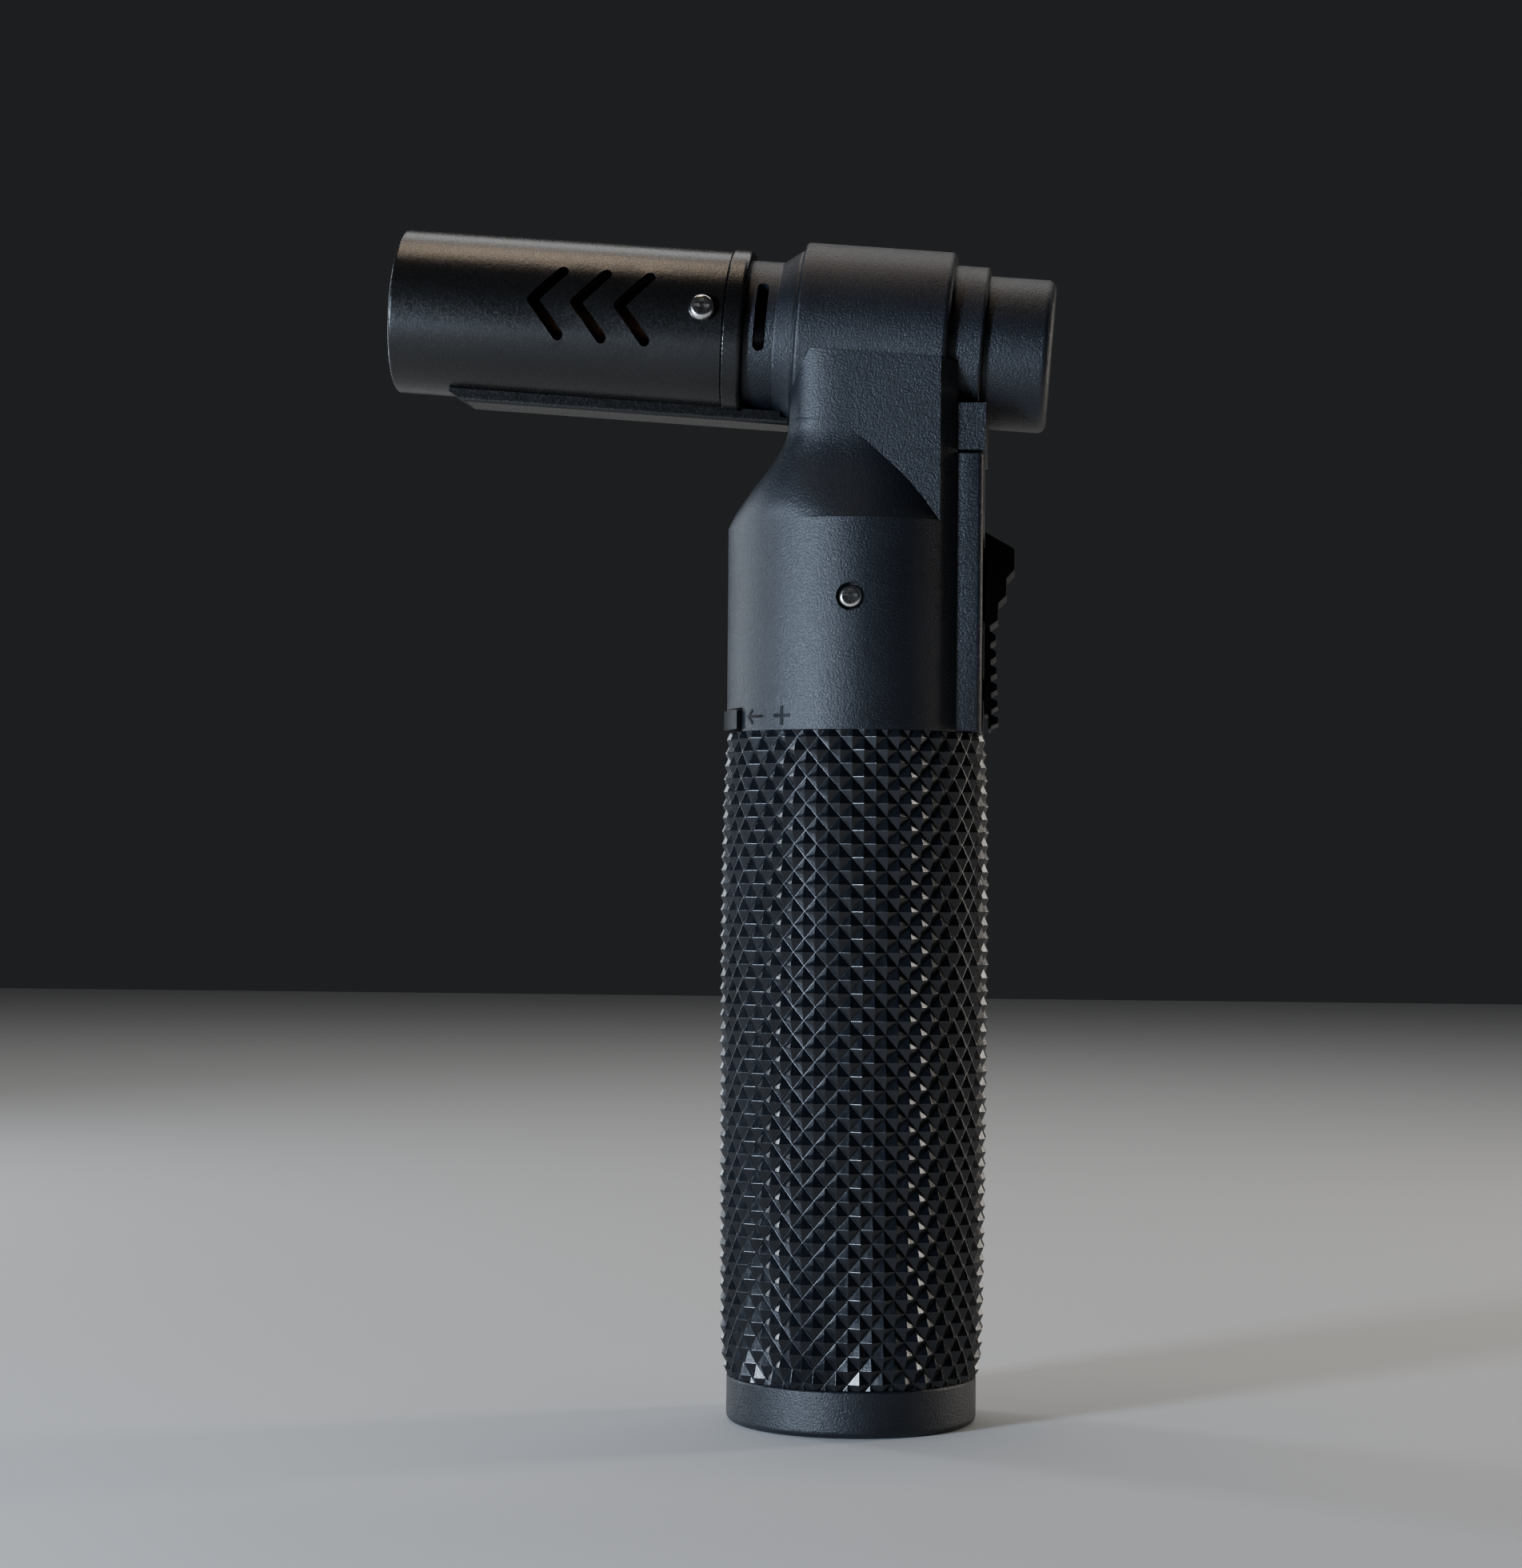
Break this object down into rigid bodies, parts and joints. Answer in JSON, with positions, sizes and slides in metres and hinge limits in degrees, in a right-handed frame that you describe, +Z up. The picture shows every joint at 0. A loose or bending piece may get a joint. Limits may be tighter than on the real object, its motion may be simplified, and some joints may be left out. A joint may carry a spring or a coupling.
{
  "type": "butane torch",
  "caption": "Hand-held butane micro torch: knurled upright handle with fuel tank, side-facing vented barrel, thumb trigger with piezo ignition, and flame adjuster.",
  "frame": {"origin": "centre of the base's bottom face, on the handle's axis, at the mouth of the refill well", "axes": "+Z up along the handle, -X the way the nozzle points, +X the thumb trigger's side, +Y across the barrel"},
  "size_m": [0.0915, 0.037, 0.1643],
  "materials": {
    "housing": "fine spark-eroded texture, near-black",
    "grip": "semi-gloss moulded diamond knurl",
    "controls": "smooth satin, jet black",
    "tank_plastic": "natural moulded nylon",
    "igniter_plastic": "moulded, ivory",
    "steel": "bright drawn",
    "screw_chrome": "bright plated",
    "seal_rubber": "smooth nitrile",
    "brass": "machined",
    "burner_metal": "heat-tinted, brown",
    "shroud_metal": "black powder coat, fine grain",
    "wire_sheath": "silicone sheath",
    "ceramic": "unglazed white"
  },
  "bodies": {
    "torch": {"base_cap": "housing", "grip_sleeve": "grip", "fuel_tank": "tank_plastic", "tank_lid": "tank_plastic", "tank_seal": "seal_rubber", "refill_valve_body": "brass", "refill_valve_seal": "seal_rubber", "refill_spring": "steel", "gas_valve_body": "brass", "gas_filter": "brass", "valve_spring": "steel", "lever_pin": "steel", "chassis": "tank_plastic", "chassis_screws": "steel", "upper_housing": "housing", "back_cover": "housing", "housing_screws": "screw_chrome", "rear_cap": "housing", "piezo_igniter": "igniter_plastic", "piezo_spring": "steel", "gas_tube": "brass", "jet_holder": "brass", "gas_jet": "brass", "mixer_tube": "shroud_metal", "air_intake_sleeve": "housing", "flange_ring": "shroud_metal", "burner_mount": "shroud_metal", "burner_tube": "burner_metal", "flame_holder": "burner_metal", "nozzle_shroud": "shroud_metal", "shroud_screws": "screw_chrome", "wire_rail": "shroud_metal", "ignition_wire": "wire_sheath", "electrode_insulator": "ceramic", "electrode": "steel"},
    "refill_stem": {"refill_stem": "brass"},
    "valve_stem": {"valve_stem": "brass"},
    "valve_lever": {"valve_lever": "steel"},
    "adjuster": {"adjuster_ring": "controls", "regulator_wheel": "brass"},
    "trigger": {"trigger": "controls", "piezo_plunger": "igniter_plastic"},
    "lock": {"lock_slide": "controls"}
  },
  "joints": [
    {"name": "trigger_slide", "type": "slide", "parent": "torch", "child": "trigger", "axis": [0, 0, 1], "range_m": [0, 0.005], "stiffness_N_per_m": 600, "springref_m": -0.002, "deforming": ["piezo_spring"]},
    {"name": "lever_swing", "type": "hinge", "parent": "torch", "child": "valve_lever", "pos_m": [-0.0046, 0, 0.1062], "axis": [0, -1, 0], "range_deg": [0, 16.2]},
    {"name": "stem_lift", "type": "slide", "parent": "torch", "child": "valve_stem", "axis": [0, 0, 1], "range_m": [0, 0.0018], "deforming": ["valve_spring"]},
    {"name": "lock_slide_down", "type": "slide", "parent": "torch", "child": "lock", "axis": [0, 0, -1], "range_m": [0, 0.002]},
    {"name": "adjuster_turn", "type": "hinge", "parent": "torch", "child": "adjuster", "pos_m": [0, 0, 0.096], "axis": [0, 0, 1], "range_deg": [-45, 0]},
    {"name": "refill_stem_press", "type": "slide", "parent": "torch", "child": "refill_stem", "axis": [0, 0, 1], "range_m": [0, 0.0015], "stiffness_N_per_m": 300, "springref_m": -0.001, "deforming": ["refill_spring"]}
  ],
  "couplings": [
    {"joint": "lever_swing", "follows": "trigger_slide", "rad_per_m": 56.543},
    {"joint": "stem_lift", "follows": "trigger_slide", "ratio": 0.36}
  ]
}
